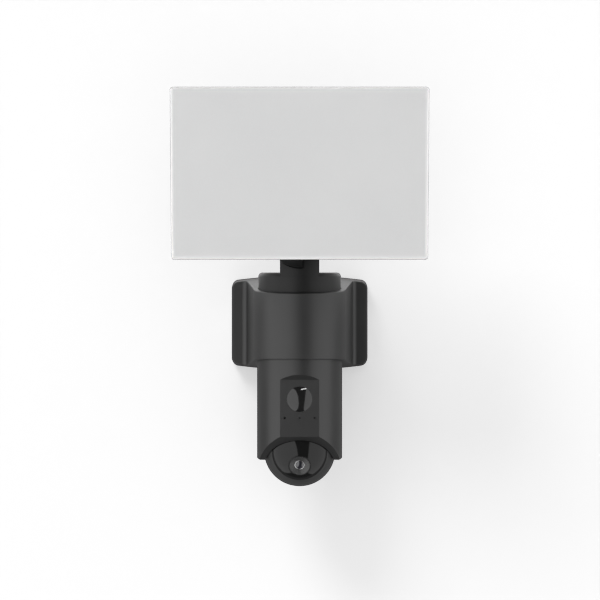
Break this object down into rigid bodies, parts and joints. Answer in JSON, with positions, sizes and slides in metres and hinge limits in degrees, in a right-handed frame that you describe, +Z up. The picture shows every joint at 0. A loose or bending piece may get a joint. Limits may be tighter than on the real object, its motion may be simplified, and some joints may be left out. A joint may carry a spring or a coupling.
{
  "type": "floodlight security camera",
  "caption": "Wall-mounted floodlight camera: a tilting flat lamp on a swivelling collar over a dark cylindrical body with motion sensor and a pan-tilt camera ball.",
  "frame": {"origin": "middle of the wall plate's back face, on the wall plane", "axes": "+Y into the wall, so the camera faces -Y; +X to the right of someone facing the camera; +Z up"},
  "size_m": [0.196, 0.1537, 0.313],
  "materials": {
    "dark_plastic": "matte",
    "plate_metal": "satin",
    "housing_metal": "powder coated",
    "seal_rubber": "matte",
    "steel": "satin",
    "acetal": "satin",
    "opal": "satin",
    "smoked_window": "gloss",
    "clear_pipe": "gloss",
    "glass": "gloss",
    "circuit_board": "satin",
    "white_board": "satin",
    "led": "satin",
    "night_led": "gloss",
    "pad": "matte",
    "black_plastic": "matte",
    "sensor_can": "satin"
  },
  "bodies": {
    "base": {"wall_plate": "plate_metal", "wall_seal": "seal_rubber", "cable_grommet": "seal_rubber", "base_housing": "dark_plastic", "base_screws": "steel", "terminal_block": "black_plastic", "terminal_screws": "steel", "driver_board": "circuit_board", "driver_parts": "black_plastic", "driver_screws": "steel", "swivel_washer": "acetal", "sensor_body": "dark_plastic", "body_seal": "seal_rubber", "body_screws": "steel", "pir_lens": "smoked_window", "pir_sensor": "sensor_can", "sensor_board": "circuit_board", "mic_seal": "seal_rubber", "status_light_pipe": "clear_pipe", "light_sensor_pipe": "clear_pipe", "main_board": "circuit_board", "board_shields": "steel", "speaker": "black_plastic", "speaker_mesh": "sensor_can", "card_socket": "black_plastic", "reset_switch": "black_plastic", "card_door_pin": "steel"},
    "turret": {"swivel_collar": "dark_plastic", "swivel_clip": "steel", "tilt_bolt": "steel", "tilt_nut": "steel"},
    "lamp": {"lamp_arm": "dark_plastic", "arm_screws": "steel", "lamp_housing": "housing_metal", "lamp_gasket": "seal_rubber", "thermal_pad": "pad", "led_board": "white_board", "led_chips": "led", "lamp_reflector": "white_board", "lamp_diffuser": "opal", "lamp_screws": "steel", "breather_vent": "seal_rubber", "friction_washer": "acetal"},
    "camera_carrier": {"pan_fork": "acetal", "pan_clip": "steel", "tilt_pins": "steel"},
    "camera_ball": {"ball_front": "dark_plastic", "ball_rear": "dark_plastic", "ball_screws": "steel", "camera_window": "smoked_window", "lens_bezel": "dark_plastic", "lens_barrel": "black_plastic", "lens_glass": "glass", "image_board": "circuit_board", "night_board": "circuit_board", "night_leds": "night_led"},
    "door": {"card_door": "dark_plastic"},
    "button": {"reset_button": "seal_rubber"}
  },
  "joints": [
    {"name": "lamp_swivel", "type": "hinge", "parent": "base", "child": "turret", "pos_m": [0, -0.064, 0], "axis": [0, 0, 1], "range_deg": [-45, 45]},
    {"name": "lamp_tilt", "type": "hinge", "parent": "turret", "child": "lamp", "pos_m": [0, -0.1, 0.071], "axis": [1, 0, 0], "range_deg": [-25, 50]},
    {"name": "camera_pan", "type": "hinge", "parent": "base", "child": "camera_carrier", "pos_m": [0, -0.064, -0.101], "axis": [0, 0, 1], "range_deg": [-40, 40]},
    {"name": "camera_tilt", "type": "hinge", "parent": "camera_carrier", "child": "camera_ball", "pos_m": [0, -0.064, -0.101], "axis": [1, 0, 0], "range_deg": [-15, 25]},
    {"name": "door_hinge", "type": "hinge", "parent": "base", "child": "door", "pos_m": [0, -0.0315, -0.0655], "axis": [-1, 0, 0], "range_deg": [0, 95]},
    {"name": "button_press", "type": "slide", "parent": "base", "child": "button", "axis": [0, -1, 0], "range_m": [0, 0.001], "stiffness_N_per_m": 200}
  ]
}
